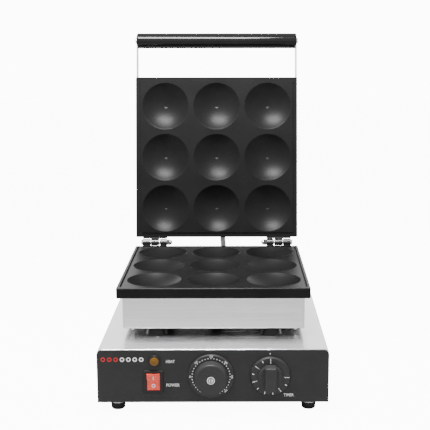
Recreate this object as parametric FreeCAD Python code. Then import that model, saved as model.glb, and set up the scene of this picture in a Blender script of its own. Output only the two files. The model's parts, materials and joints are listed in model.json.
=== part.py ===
import FreeCAD, Part
import math
import os

Vector = FreeCAD.Vector

# A counter-top donut maker with two hinged nine-cavity cast plates, opened to its stop.
# Millimetres. X runs to the right, Y from the control panel to the back, Z up from the table.
# Shapes are drawn with Y = 0 on the control panel's face, and moved to the row's origin at the end.
# The lid's shapes are drawn closed, and turned back about the hinge pins to the open stop.

# Driving dimensions: base
BASE_WIDTH = 310.0
BASE_DEPTH = 370.0
FOOT_HEIGHT = 14.5
SHELL_TOP = 88.3
SHELL_CORNER = 6.7
SHEET = 1.2
FLANGE = 12.0
PANEL_THICK = 2.0
PANEL_TOP = 87.7
FIT = 0.1

# Driving dimensions: lower heated unit and the casting that both halves share
STANDOFF_HEIGHT = 10.4
HOUSING_WIDTH = 252.4
HOUSING_HEIGHT = 45.2
HOUSING_SHEET = 1.0
PLATE_WIDTH = 267.2
PLATE_DEPTH = 264.6
PLATE_FRONT = 50.4
PLATE_RIM = 15.0
PLATE_INSET = 7.7
BLOCK_INSET = 14.0
BLOCK_DEPTH = 10.0
CAVITY_RADIUS = 38.3
CAVITY_DEPTH = 13.0
CAVITY_PITCH = 84.5
CAVITY_EDGE = 1.2
GROOVE_WIDTH = 3.0
GROOVE_DEPTH = 3.0
GROOVE_SIDE = 3.9
GROOVE_FRONT = 8.0
GROOVE_REAR = 4.5

# Driving dimensions: hinge and lid
HINGE_Y = 324.0
HINGE_Z = 162.8
LID_OPEN = 100.2
SEAM = 0.4
FIELD_RAISE = 1.6
LID_EDGE_TO_PIN = 8.7
PIN_RADIUS = 3.0
KNUCKLE_RADIUS = 5.5
LEAF = 2.4
RUNNING = 0.05
OUTER_KNUCKLE = (110.0, 122.5)
INNER_KNUCKLE = (83.0, 94.0)
LUG = (96.0, 109.0)
HINGE_SCREW_X = (89.0, 116.0)
BRACKET_SCREW_Z = 151.5
STOP_LENGTH = 9.5
STOP_GAP = 0.15

# Driving dimensions: handle
GRIP_RADIUS = 12.5
GRIP_LENGTH = 268.0
GRIP_REACH = 64.5
GRIP_BEHIND = 25.0
ARM_THICK = 2.0
ARM_WIDTH = 16.0
ARM_SCREW_Y = (96.0, 150.0)
ROD_RADIUS = 4.0

# Driving dimensions: controls, as X and Z of each centre on the panel
SWITCH = (-79.6, 43.9)
LAMP = (-78.0, 72.8)
THERMOSTAT = (-2.4, 52.1)
TIMER = (76.8, 51.7)
ROCKER_TILT = 7.0
ROCKER_WIDTH = 17.6
LENS_RADIUS = 5.8
SHAFT_RADIUS = 3.0
KNOB_GAP = 0.5
SKIRT_FACE = 4.0
CAP_FACE = 18.5
BADGE_RADIUS = 5.2
TIMER_FACE = 4.2
THERMOSTAT_DEPTH = 30.0
TIMER_DEPTH = 38.0
THERMOSTAT_SHAFT_FRONT = -13.0
TIMER_SHAFT_FRONT = -11.0

# Heights and depths that follow
HOUSING_Z = SHELL_TOP + STANDOFF_HEIGHT
RIM_Z = HOUSING_Z + HOUSING_HEIGHT
PLATE_TOP = RIM_Z + PLATE_RIM
PLATE_REAR = PLATE_FRONT + PLATE_DEPTH
BLOCK_Z = RIM_Z - BLOCK_DEPTH
FLOOR_Z = FOOT_HEIGHT + SHEET
LID_REAR = HINGE_Y - LID_EDGE_TO_PIN
LID_FRONT = LID_REAR - PLATE_DEPTH
LID_FIELD_Z = PLATE_TOP + SEAM
LID_BORDER_Z = LID_FIELD_Z + FIELD_RAISE
LID_RIM_Z = LID_BORDER_Z + PLATE_RIM
LID_BLOCK_Z = LID_RIM_Z + BLOCK_DEPTH
LID_TOP_Z = LID_RIM_Z + HOUSING_HEIGHT
GRIP_Y = LID_FRONT - GRIP_REACH
GRIP_Z = LID_BORDER_Z + GRIP_BEHIND

# Fixings
M5 = 2.5
M4 = 2.0
CLEAR = 0.25
STANDOFFS = [(x, y) for x in (-80.0, 80.0) for y in (72.0, 294.0)]
PLATE_STUDS = [(x, y) for x in (-114.0, 114.0) for y in (76.0, 290.0)]
FEET = [(x, y) for x in (-129.5, 129.5) for y in (18.2, 351.8)]
SLEEVE = (0.0, 250.0)
SLEEVE_RADIUS = 8.0
GROMMET = (20.0, 350.0)
GROMMET_RADIUS = 6.5
CONDUIT_RADIUS = 4.35
LID_GLAND_X = 9.5
LID_GLAND_Z = HINGE_Z + 21.0
LID_GLAND_RADIUS = 7.0
LID_GLAND_LENGTH = 6.0
MAINS_GLAND = (-100.0, 48.0)
MAINS_GLAND_RADIUS = 8.0
SPACER_HEIGHT = 4.3
REAR_FLANGE = 9.0
REAR_SCREW_Y = BASE_DEPTH - 5.5
REAR_SCREW_Z = (32.0, 68.0)
TERMINAL_X = 104.0
TERMINAL_Y = 282.0
HEATER_RADIUS = 4.0
HEATER_BEND = 26.0
LID_SCREW_Z = LID_BORDER_Z + 10.6


# Shape helpers

def block(x0, x1, y0, y1, z0, z1):
    return Part.makeBox(x1 - x0, y1 - y0, z1 - z0, Vector(x0, y0, z0))


def bar(radius, start, end):
    start = Vector(*start)
    line = Vector(*end) - start
    return Part.makeCylinder(radius, line.Length, start, line)


def cone(radius0, radius1, start, end):
    start = Vector(*start)
    line = Vector(*end) - start
    return Part.makeCone(radius0, radius1, line.Length, start, line)


def hexagon(across, start, end):
    """A hexagonal prism between two points on its own axis."""
    start = Vector(*start)
    line = Vector(*end) - start
    turn = FreeCAD.Rotation(Vector(0, 0, 1), line)
    corner = across / math.sqrt(3)
    angles = [math.radians(60 * i) for i in range(7)]
    points = [Vector(corner * math.cos(a), corner * math.sin(a), 0) for a in angles]
    prism = Part.Face(Part.makePolygon(points)).extrude(Vector(0, 0, line.Length))
    prism.Placement = FreeCAD.Placement(start, turn)
    return prism


def fuse(shapes):
    joined = shapes[0].multiFuse(shapes[1:]) if len(shapes) > 1 else shapes[0]
    return joined.removeSplitter()


def cut(shape, tools):
    return shape.cut(tools)


def group(shapes):
    return Part.makeCompound([solid for shape in shapes for solid in shape.Solids])


def mirrored(shape):
    return shape.mirror(Vector(0, 0, 0), Vector(1, 0, 0))


def edges_where(shape, test):
    """The shape's edges whose box passes a test."""
    return [edge for edge in shape.Edges if test(edge.BoundBox)]


def along_x(box):
    return box.YLength < 1e-6 and box.ZLength < 1e-6


def along_y(box):
    return box.XLength < 1e-6 and box.ZLength < 1e-6


def along_z(box):
    return box.XLength < 1e-6 and box.YLength < 1e-6


def tray(x0, x1, y0, y1, z0, z1, wall, side_radius, floor_radius):
    """A folded and welded box of sheet, open at its high end."""
    def body(inset):
        solid = block(x0 + inset, x1 - inset, y0 + inset, y1 - inset, z0 + inset, z1)
        solid = solid.makeFillet(side_radius - inset, edges_where(solid, along_z))
        low = edges_where(solid, lambda b: b.ZLength < 1e-6 and b.ZMax < z0 + inset + 1e-6)
        return solid.makeFillet(floor_radius - inset, low)
    return cut(body(0.0), [body(wall)])


def tube(points, radius, bend=None):
    """A round bar along straight runs joined by tangent arcs, as large as the runs allow unless stated."""
    points = [Vector(*p) for p in points]
    edges = []
    radii = []
    last = points[0]
    for before, point, after in zip(points, points[1:], points[2:]):
        inward = (before - point).normalize()
        outward = (after - point).normalize()
        half_turn = (math.pi - inward.getAngle(outward)) / 2
        shorter = min((before - point).Length, (after - point).Length)
        arc_radius = bend or 0.45 * shorter / math.tan(half_turn)
        reach = arc_radius * math.tan(half_turn)
        start = point + inward * reach
        end = point + outward * reach
        middle_line = (inward + outward).normalize()
        centre_distance = arc_radius / math.cos(half_turn)
        middle = point + middle_line * (centre_distance - arc_radius)
        edges.append(Part.LineSegment(last, start).toShape())
        edges.append(Part.Arc(start, middle, end).toShape())
        radii.append(round(arc_radius, 1))
        last = end
    edges.append(Part.LineSegment(last, points[-1]).toShape())
    path = Part.Wire(edges)
    ring = Part.Wire(Part.Circle(points[0], points[1] - points[0], radius).toShape())
    solid = path.makePipeShell([ring], True, True)
    expected = math.pi * radius ** 2 * path.Length
    ratio = round(solid.Volume / expected, 4)
    print("tube length", round(path.Length, 1), "radii", radii, "volume ratio", ratio)
    return solid


def screw_up(x, y, seat, head_radius, head, shank_radius, length):
    """A pan-head screw that points up from its head's top at the height seat."""
    return fuse([bar(head_radius, (x, y, seat - head), (x, y, seat)),
                 bar(shank_radius, (x, y, seat), (x, y, seat + length))])


def pierced_nut(x, y, z, height, thread_radius):
    """A hexagonal nut that stands on the height z."""
    across = 3.2 * thread_radius + 0.4
    return cut(hexagon(across, (x, y, z), (x, y, z + height)),
               [bar(thread_radius, (x, y, z - 1.0), (x, y, z + height + 1.0))])


# Base

def panel_cutouts(y0, y1, growth):
    """The openings that the controls pass through, as solids between two depths."""
    hole = block(SWITCH[0] - 11.0 - growth, SWITCH[0] + 11.0 + growth, y0, y1,
                 SWITCH[1] - 14.1 - growth, SWITCH[1] + 14.1 + growth)
    rounds = [(LAMP, 5.95), (THERMOSTAT, 4.0), (TIMER, 4.0)]
    return [hole] + [bar(r + growth, (c[0], y0, c[1]), (c[0], y1, c[1])) for c, r in rounds]


def arch(inset, y0, y1, z0, top):
    """A block with the shell's rounded upper corners."""
    half = BASE_WIDTH / 2 - inset
    solid = block(-half, half, y0, y1, z0, top - inset)
    upper = edges_where(solid, lambda b: along_y(b) and b.ZMin > z0 + 1.0)
    return solid.makeFillet(SHELL_CORNER - inset, upper)


def base_shell():
    outer = arch(0.0, PANEL_THICK, BASE_DEPTH, FOOT_HEIGHT, SHELL_TOP)
    front = edges_where(outer, lambda b: along_x(b) and b.YMax < PANEL_THICK + 1.0 and b.ZMin > PANEL_TOP)
    outer = outer.makeFillet(SHEET, front)
    inner = arch(SHEET, PANEL_THICK + SHEET, BASE_DEPTH + 1.0, FLOOR_Z, SHELL_TOP)
    mouth = block(-BASE_WIDTH / 2 + FLANGE, BASE_WIDTH / 2 - FLANGE, PANEL_THICK + FLANGE, BASE_DEPTH + 1.0,
                  FOOT_HEIGHT - 1.0, FLOOR_Z + 1.0)
    top_holes = [(x, y, M5 + CLEAR) for x, y in STANDOFFS]
    top_holes += [(*SLEEVE, SLEEVE_RADIUS), (*GROMMET, GROMMET_RADIUS)]
    tools = [inner, mouth] + panel_cutouts(0.0, PANEL_THICK + 2 * SHEET, 0.5)
    tools += [bar(r, (x, y, SHELL_TOP - 2 * SHEET), (x, y, SHELL_TOP + 1.0)) for x, y, r in top_holes]
    tools += [bar(M4 + CLEAR, (x, y, FOOT_HEIGHT - 1.0), (x, y, FLOOR_Z + 1.0)) for x, y in FEET]
    tools += rear_screw_holes()
    return cut(outer, tools)


def rear_screw_spots():
    return [(side, z) for side in (-1, 1) for z in REAR_SCREW_Z]


def rear_screw_holes():
    half = BASE_WIDTH / 2
    return [bar(M4, (side * (half - 12.0), REAR_SCREW_Y, z), (side * (half + 1.0), REAR_SCREW_Y, z))
            for side, z in rear_screw_spots()]


def rear_panel():
    y1 = BASE_DEPTH - 1.0
    outer = arch(SHEET + FIT, y1 - REAR_FLANGE, y1, FLOOR_Z + SHEET + FIT, SHELL_TOP)
    inner = arch(2 * SHEET + FIT, y1 - REAR_FLANGE - 1.0, y1 - SHEET, FLOOR_Z - 1.0, SHELL_TOP)
    x, z = MAINS_GLAND
    gland_hole = bar(MAINS_GLAND_RADIUS, (x, y1 - 5.0, z), (x, y1 + 1.0, z))
    slot_columns = [20.0 + 9.0 * i for i in range(10)]
    slots = [block(c, c + 3.0, y1 - 5.0, y1 + 1.0, 34.0, 62.0) for c in slot_columns]
    return cut(outer, [inner, gland_hole] + slots + rear_screw_holes())


def rear_screws():
    half = BASE_WIDTH / 2
    y = REAR_SCREW_Y
    return group([fuse([bar(3.6, (side * half, y, z), (side * (half + 1.8), y, z)),
                        bar(M4 - 0.05, (side * (half - 7.0), y, z), (side * half, y, z))])
                  for side, z in rear_screw_spots()])


def bottom_plate():
    half = BASE_WIDTH / 2 - SHEET - FIT
    plate = block(-half, half, PANEL_THICK + SHEET + FIT, BASE_DEPTH - 2.0, FLOOR_Z, FLOOR_Z + SHEET)
    rows = [(x, y) for x in (-70.0, 70.0) for y in [110.0 + 14.0 * i for i in range(12)]]
    slots = [block(x - 30.0, x + 30.0, y - 2.0, y + 2.0, FLOOR_Z - 1.0, FLOOR_Z + 3.0) for x, y in rows]
    holes = [bar(M4 + CLEAR, (x, y, FLOOR_Z - 1.0), (x, y, FLOOR_Z + 3.0)) for x, y in FEET]
    return cut(plate, slots + holes)


def rubber_feet():
    feet = []
    for x, y in FEET:
        body = cone(9.2, 10.2, (x, y, 0.0), (x, y, FOOT_HEIGHT - SPACER_HEIGHT))
        low = edges_where(body, lambda b: b.ZMax < 0.01)
        body = body.makeFillet(2.4, low)
        recess = bar(4.6, (x, y, -1.0), (x, y, 6.0))
        hole = bar(M4, (x, y, 5.0), (x, y, FOOT_HEIGHT + 1.0))
        feet.append(cut(body, [recess, hole]))
    return group(feet)


def foot_spacers():
    """A plated spacer over each foot, with a boss up through the shell's opening to the bottom plate."""
    spacers = []
    for x, y in FEET:
        disc = bar(10.3, (x, y, FOOT_HEIGHT - SPACER_HEIGHT), (x, y, FOOT_HEIGHT))
        boss = bar(4.0, (x, y, FOOT_HEIGHT), (x, y, FLOOR_Z))
        hole = bar(M4, (x, y, FOOT_HEIGHT - SPACER_HEIGHT - 1.0), (x, y, FLOOR_Z + 1.0))
        spacers.append(cut(fuse([disc, boss]), [hole]))
    return group(spacers)


def foot_screws():
    """A screw up through each foot, with its nut on the bottom plate."""
    z = FLOOR_Z + SHEET
    pieces = []
    for x, y in FEET:
        pieces.append(screw_up(x, y, 6.0, 3.8, 2.6, M4, z + 8.0 - 6.0))
        pieces.append(pierced_nut(x, y, z, 3.2, M4))
    return group(pieces)


def control_panel():
    half = BASE_WIDTH / 2
    panel = block(-half, half, 0.0, PANEL_THICK, FOOT_HEIGHT, PANEL_TOP)
    upper = edges_where(panel, lambda b: along_y(b) and b.ZMin > FOOT_HEIGHT + 1.0)
    panel = panel.makeFillet(SHELL_CORNER, upper)
    front = edges_where(panel, lambda b: b.YMax < 0.01)
    panel = panel.makeChamfer(0.4, front)
    return cut(panel, panel_cutouts(-1.0, PANEL_THICK + 1.0, 0.0))


# Controls

def power_switch_housing():
    x, z = SWITCH
    side_wall = ROCKER_WIDTH / 2 + 0.3
    bezel = block(x - 13.3, x + 13.3, -1.6, 0.0, z - 15.8, z + 15.8)
    bezel = bezel.makeFillet(1.2, edges_where(bezel, along_y))
    bezel = bezel.makeChamfer(0.5, edges_where(bezel, lambda b: b.YMax < -1.5))
    case = block(x - 10.9, x + 10.9, 0.0, 19.0, z - 14.0, z + 14.0)
    well = block(x - side_wall, x + side_wall, -3.0, 14.5, z - 12.2, z + 12.2)
    tabs = [block(x + dx - 0.4, x + dx + 0.4, 19.0, 27.0, z + dz - 3.0, z + dz + 3.0)
            for dx in (-6.0, 6.0) for dz in (-8.0, 8.0)]
    pins = [bar(1.5, (x + side * side_wall, 1.0, z), (x + side * (side_wall - 0.7), 1.0, z))
            for side in (-1, 1)]
    return fuse([cut(fuse([bezel, case]), [well])] + tabs + pins)


def power_rocker():
    """The rocker's two front faces meet in a shallow valley; its ends are arcs about the pivot."""
    x, z = SWITCH
    pivot = 1.0
    end_radius = 12.0
    nose = -2.4
    reach = math.sqrt(end_radius ** 2 - (nose - pivot) ** 2)
    back = 5.0
    back_reach = math.sqrt(end_radius ** 2 - (back - pivot) ** 2)

    def point(y, dz):
        return Vector(x - ROCKER_WIDTH / 2, y, z + dz)

    outline = [Part.LineSegment(point(nose, reach), point(-0.4, 0.0)).toShape(),
               Part.LineSegment(point(-0.4, 0.0), point(nose, -reach)).toShape(),
               Part.Arc(point(nose, -reach), point(pivot, -end_radius), point(back, -back_reach)).toShape(),
               Part.LineSegment(point(back, -back_reach), point(back, back_reach)).toShape(),
               Part.Arc(point(back, back_reach), point(pivot, end_radius), point(nose, reach)).toShape()]
    body = Part.Face(Part.Wire(outline)).extrude(Vector(ROCKER_WIDTH, 0.0, 0.0))
    front = edges_where(body, lambda b: b.YMax < 0.0 and b.XLength < 1e-6)
    body = body.makeFillet(0.6, front)
    side_face = ROCKER_WIDTH / 2
    dimples = [bar(1.6, (x + side * (side_face + 0.1), pivot, z), (x + side * (side_face - 0.5), pivot, z))
               for side in (-1, 1)]
    plunger = block(x - 3.0, x + 3.0, back - 0.5, 9.0, z - 2.0, z + 2.0)
    body = fuse([cut(body, dimples), plunger])
    body.rotate(Vector(x, pivot, z), Vector(1, 0, 0), ROCKER_TILT)
    return body


def pilot_lamp_body():
    x, z = LAMP
    flange = bar(8.1, (x, -2.2, z), (x, 0.0, z))
    flange = flange.makeFillet(0.8, edges_where(flange, lambda b: b.YMax < -2.0))
    case = bar(5.9, (x, 0.0, z), (x, 17.0, z))
    seat = bar(LENS_RADIUS + 0.05, (x, -3.0, z), (x, -0.8, z))
    bore = bar(4.5, (x, -1.0, z), (x, 14.0, z))
    tabs = [block(x + dx - 0.4, x + dx + 0.4, 17.0, 24.0, z - 1.5, z + 1.5) for dx in (-3.0, 3.0)]
    return fuse([cut(fuse([flange, case]), [seat, bore])] + tabs)


def pilot_lamp_lens():
    x, z = LAMP
    disc = bar(LENS_RADIUS, (x, -2.8, z), (x, -0.8, z))
    dome_radius = 14.0
    dome_centre = -2.8 + math.sqrt(dome_radius ** 2 - LENS_RADIUS ** 2)
    around = bar(LENS_RADIUS, (x, -8.0, z), (x, -2.8, z))
    dome = Part.makeSphere(dome_radius, Vector(x, dome_centre, z)).common(around)
    spigot = bar(4.4, (x, -0.8, z), (x, 3.0, z))
    return fuse([disc, dome, spigot])


def pilot_lamp_bulb():
    x, z = LAMP
    return bar(2.5, (x, 5.0, z), (x, 13.0, z))


def control_body(centre, half_x, half_z, depth, shaft_bore):
    """A switch block on the back of the panel's sheet, with a bush for its shaft."""
    x, z = centre
    y0 = PANEL_THICK + SHEET
    case = block(x - half_x, x + half_x, y0 + 1.5, y0 + depth, z - half_z, z + half_z)
    case = case.makeFillet(2.0, edges_where(case, along_y))
    plate = block(x - 10.0, x + 10.0, y0, y0 + 1.5, z - 19.0, z + 19.0)
    back = y0 + depth
    low = z - half_z + 5.0
    tabs = [block(x + dx - 3.0, x + dx + 3.0, back, back + 8.0, low, low + 0.8)
            for dx in (-9.0, 9.0)]
    return cut(fuse([case, plate] + tabs), [bar(shaft_bore, (x, 0.0, z), (x, y0 + 16.0, z))])


def thermostat_body():
    return control_body(THERMOSTAT, 17.0, 17.0, THERMOSTAT_DEPTH, SHAFT_RADIUS + RUNNING)


def timer_body():
    return control_body(TIMER, 23.0, 23.0, TIMER_DEPTH, SHAFT_RADIUS + RUNNING)


def control_shaft(centre, front):
    x, z = centre
    shaft = bar(SHAFT_RADIUS, (x, front, z), (x, PANEL_THICK + SHEET + 14.0, z))
    flat = block(x - 4.0, x + 4.0, front - 1.0, -1.0, z + 2.0, z + 4.0)
    return cut(shaft, [flat])


def thermostat_knob():
    x, z = THERMOSTAT
    skirt = bar(30.5, (x, -SKIRT_FACE, z), (x, -KNOB_GAP, z))
    skirt = skirt.makeChamfer(1.2, edges_where(skirt, lambda b: b.YMax < -SKIRT_FACE + 0.1))
    cap = cone(22.25, 21.2, (x, -SKIRT_FACE, z), (x, -CAP_FACE, z))
    cap = cap.makeFillet(2.2, edges_where(cap, lambda b: b.YMax < -CAP_FACE + 0.1))
    body = fuse([skirt, cap])
    badge_seat = bar(BADGE_RADIUS + 0.1, (x, -CAP_FACE - 1.0, z), (x, -CAP_FACE + 1.0, z))
    hollow_floor = -CAP_FACE + 3.0
    hollow = cut(bar(19.0, (x, hollow_floor, z), (x, 0.0, z)), [bar(6.5, (x, hollow_floor, z), (x, 0.0, z))])
    return cut(body, [badge_seat, hollow, control_shaft(THERMOSTAT, THERMOSTAT_SHAFT_FRONT)])


def thermostat_knob_badge():
    x, z = THERMOSTAT
    return bar(BADGE_RADIUS, (x, -CAP_FACE - 0.3, z), (x, -CAP_FACE + 1.0, z))


def timer_knob():
    x, z = TIMER
    skirt = cone(27.2, 25.6, (x, -KNOB_GAP, z), (x, -TIMER_FACE, z))
    hub = cone(17.0, 16.2, (x, -TIMER_FACE, z), (x, -9.5, z))
    hub = hub.makeFillet(1.0, edges_where(hub, lambda b: b.YMax < -9.4))
    wing = block(x - 7.75, x + 7.75, -19.0, -TIMER_FACE, z - 16.6, z + 16.6)
    wing = wing.makeFillet(2.0, edges_where(wing, lambda b: b.YMax < -18.9 or along_y(b)))
    body = fuse([skirt, hub, wing])
    hollow = cut(bar(14.0, (x, -3.0, z), (x, 0.0, z)), [bar(6.5, (x, -3.0, z), (x, 0.0, z))])
    return cut(body, [hollow, control_shaft(TIMER, TIMER_SHAFT_FRONT)])


# Electrical pieces inside the base

def terminal_block():
    """Three ways side by side, each with a wire entry at the front and a screw in a well."""
    x0, y0 = -48.0, 306.0
    z0 = FLOOR_Z + SHEET
    way_pitch = 16.0
    body = block(x0, x0 + 3 * way_pitch, y0, y0 + 20.0, z0, z0 + 16.0)
    middles = [x0 + way_pitch * (i + 0.5) for i in range(3)]
    wells = [bar(2.6, (x, y0 + 10.0, z0 + 8.0), (x, y0 + 10.0, z0 + 17.0)) for x in middles]
    entries = [block(x - 3.0, x + 3.0, y0 - 1.0, y0 + 5.0, z0 + 3.0, z0 + 8.0) for x in middles]
    screws = [bar(2.5, (x, y0 + 10.0, z0 + 8.0), (x, y0 + 10.0, z0 + 13.0)) for x in middles]
    return group([cut(body, wells + entries)] + screws)


def earth_stud():
    x, y = 30.0, 316.0
    z = FLOOR_Z + SHEET
    return fuse([hexagon(8.0, (x, y, z), (x, y, z + 3.5)), bar(M5, (x, y, z), (x, y, z + 12.0))])


def mains_gland():
    """The strain relief for the mains lead: a clamping nut outside, a lock nut inside."""
    x, z = MAINS_GLAND
    y = BASE_DEPTH - 1.0
    outside = [hexagon(20.0, (x, y, z), (x, y + 5.0, z)), cone(9.4, 7.2, (x, y + 5.0, z), (x, y + 16.0, z))]
    inside = [hexagon(20.0, (x, y - SHEET - 4.0, z), (x, y - SHEET, z))]
    barrel = bar(MAINS_GLAND_RADIUS, (x, y - 10.0, z), (x, y + 5.0, z))
    return cut(fuse(outside + inside + [barrel]), [bar(4.0, (x, y - 11.0, z), (x, y + 17.0, z))])


def wiring_sleeve():
    x, y = SLEEVE
    body = fuse([bar(SLEEVE_RADIUS - FIT, (x, y, SHELL_TOP - 4.0), (x, y, HOUSING_Z + 4.0)),
                 bar(11.0, (x, y, SHELL_TOP), (x, y, HOUSING_Z))])
    return cut(body, [bar(6.0, (x, y, SHELL_TOP - 5.0), (x, y, HOUSING_Z + 5.0))])


def conduit_grommet():
    x, y = GROMMET
    lip = bar(8.5, (x, y, SHELL_TOP), (x, y, SHELL_TOP + 2.4))
    lip = lip.makeFillet(1.0, edges_where(lip, lambda b: b.ZMin > SHELL_TOP + 2.3))
    neck = bar(GROMMET_RADIUS - FIT, (x, y, SHELL_TOP - SHEET), (x, y, SHELL_TOP))
    under = bar(8.5, (x, y, SHELL_TOP - SHEET - 2.0), (x, y, SHELL_TOP - SHEET))
    bore = bar(CONDUIT_RADIUS + 0.2, (x, y, SHELL_TOP - 5.0), (x, y, SHELL_TOP + 5.0))
    return cut(fuse([lip, neck, under]), [bore])


def wiring_loom():
    """The bundle from the terminal block forward to the switch and the two controls."""
    return tube([(-24.0, 306.0, 40.0), (-46.0, 290.0, 40.0), (-58.0, 246.0, 34.0), (-50.0, 190.0, 30.0),
                 (-46.0, 130.0, 34.0), (-58.0, 76.0, 44.0), (-74.0, 50.0, 48.0),
                 (SWITCH[0], 30.0, SWITCH[1])], 3.0)


def heater_leads():
    """The heater wires that climb from the terminal block through the sleeve to the lower unit."""
    x, y = SLEEVE
    return tube([(-8.0, 303.0, 44.0), (-3.0, 286.0, 46.0), (2.5, 263.0, 54.0), (x + 2.4, y, 74.0),
                 (x + 2.4, y + 0.2, 112.0)], 2.4)


def heater_path(z):
    rear = 286.0
    front = 84.0
    turn = 256.0
    side = TERMINAL_X
    return [(-side, rear, z), (-side, front, z), (-42.0, front, z), (-42.0, turn, z),
            (42.0, turn, z), (42.0, front, z), (side, front, z), (side, rear, z)]


def thermostat_capillary():
    """The sensing bulb under the lower casting and its fine tube down to the thermostat."""
    x, y = SLEEVE
    z = BLOCK_Z - 3.2
    tx, tz = THERMOSTAT
    line = tube([(0.0, 228.0, z), (0.0, 243.0, z - 1.0),
                 (x - 2.2, y - 1.0, z - 14.0), (x - 2.2, y - 1.0, 74.0),
                 (x - 1.0, y - 34.0, 62.0), (2.0, 130.0, 58.0), (tx, 60.0, tz + 8.0),
                 (tx, PANEL_THICK + SHEET + THERMOSTAT_DEPTH, tz + 8.0)], 0.9)
    return group([bar(3.0, (0.0, 150.0, z), (0.0, 228.0, z)), line])


# Cast plates and their housings

def cavities(y0, field, opening):
    """The nine cavity tools: spheres whose caps sink into the field on the side that opens."""
    sphere_radius = (CAVITY_RADIUS ** 2 + CAVITY_DEPTH ** 2) / (2 * CAVITY_DEPTH)
    z = field + opening * (sphere_radius - CAVITY_DEPTH)
    centre_y = y0 + PLATE_DEPTH / 2
    return [Part.makeSphere(sphere_radius, Vector(i * CAVITY_PITCH, centre_y + j * CAVITY_PITCH, z))
            for i in (-1, 0, 1) for j in (-1, 0, 1)]


def soften_cavities(plate, field):
    def is_rim(box):
        level = box.ZLength < 1e-3 and abs(box.ZMax - field) < 1e-3
        return level and abs(box.XLength - 2 * CAVITY_RADIUS) < 1.0
    return plate.makeFillet(CAVITY_EDGE, edges_where(plate, is_rim))


def stud_holes(studs, z0, z1):
    return [bar(M5, (x, y, z0), (x, y, z1)) for x, y in studs]


def lower_plate():
    half = PLATE_WIDTH / 2
    rim = block(-half, half, PLATE_FRONT, PLATE_REAR, RIM_Z, PLATE_TOP)
    rim = rim.makeFillet(2.0, edges_where(rim, lambda b: along_z(b) or b.ZMax < RIM_Z + 0.01))
    rim = rim.makeChamfer(0.9, edges_where(rim, lambda b: b.ZMin > PLATE_TOP - 0.01))
    inner = block(-half + BLOCK_INSET, half - BLOCK_INSET,
                  PLATE_FRONT + BLOCK_INSET, PLATE_REAR - BLOCK_INSET, BLOCK_Z, RIM_Z + 4.0)
    plate = cut(fuse([rim, inner]), cavities(PLATE_FRONT, PLATE_TOP, 1))
    plate = soften_cavities(plate, PLATE_TOP)
    side = half - GROOVE_SIDE
    rear = PLATE_REAR - GROOVE_REAR
    front = PLATE_FRONT + GROOVE_FRONT
    floor = PLATE_TOP - GROOVE_DEPTH
    lid = PLATE_TOP + 1.0
    tools = [block(-side, side, rear - GROOVE_WIDTH, rear, floor, lid)]
    for sign in (-1, 1):
        near = sign * (side - GROOVE_WIDTH)
        far = sign * side
        tools.append(block(min(near, far), max(near, far), front, rear, floor, lid))
        tools.append(bar(GROOVE_WIDTH / 2, ((near + far) / 2, front, floor), ((near + far) / 2, front, lid)))
    tools.append(tube(heater_path(BLOCK_Z), HEATER_RADIUS + RUNNING, HEATER_BEND))
    tools += stud_holes(PLATE_STUDS, BLOCK_Z - 1.0, BLOCK_Z + 7.0)
    tools += hinge_screw_holes(PLATE_REAR, BRACKET_SCREW_Z)
    return cut(plate, tools)


def lower_heating_element():
    return tube(heater_path(BLOCK_Z), HEATER_RADIUS, HEATER_BEND)


def element_terminals(y, z, away):
    """The ceramic beads and connector pins by an element's two ends, pointing away from the casting."""
    start = z + away * (HEATER_RADIUS + 0.1)
    pieces = []
    for x in (-TERMINAL_X, TERMINAL_X):
        bead = bar(4.4, (x, y, start), (x, y, start + away * 8.0))
        pin = bar(1.6, (x, y, start + away * 8.0), (x, y, start + away * 13.0))
        pieces.append(fuse([bead, pin]))
    return group(pieces)


def lower_element_terminals():
    return element_terminals(TERMINAL_Y, BLOCK_Z, -1)


def element_clamp(z0, z1):
    plate = block(-118.0, 118.0, 90.0, 276.0, z0, z1)
    return cut(plate, [block(-9.0, 9.0, 140.0, 300.0, z0 - 1.0, z1 + 1.0)])


def lower_element_clamp():
    z = BLOCK_Z - HEATER_RADIUS
    return element_clamp(z - 2.1, z - 0.1)


def lower_insulation():
    z0 = HOUSING_Z + HOUSING_SHEET
    pad = block(-96.0, 96.0, 84.0, 282.0, z0, z0 + 24.0)
    return cut(pad, [block(-12.0, 12.0, 230.0, 290.0, z0 - 1.0, z0 + 25.0)])


def lower_housing():
    y0 = PLATE_FRONT + PLATE_INSET
    y1 = PLATE_REAR - PLATE_INSET
    half = HOUSING_WIDTH / 2
    body = tray(-half, half, y0, y1, HOUSING_Z, RIM_Z, HOUSING_SHEET, 3.0, 2.0)
    spots = [(x, y, M5 + CLEAR) for x, y in STANDOFFS + PLATE_STUDS] + [(*SLEEVE, SLEEVE_RADIUS)]
    return cut(body, [bar(r, (x, y, HOUSING_Z - 1.0), (x, y, HOUSING_Z + 3.0)) for x, y, r in spots])


def plate_studs():
    """Four studs screwed into the lower casting, with nuts that pull it down onto its housing."""
    studs = [bar(M5, (x, y, HOUSING_Z - 6.0), (x, y, BLOCK_Z + 7.0)) for x, y in PLATE_STUDS]
    return group(studs + [pierced_nut(x, y, HOUSING_Z - 4.0, 4.0, M5) for x, y in PLATE_STUDS])


def standoffs():
    legs = []
    for x, y in STANDOFFS:
        leg = cone(15.0, 11.0, (x, y, SHELL_TOP), (x, y, HOUSING_Z))
        legs.append(cut(leg, [bar(M5 + 0.1, (x, y, SHELL_TOP - 1.0), (x, y, HOUSING_Z + 1.0))]))
    return group(legs)


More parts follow.
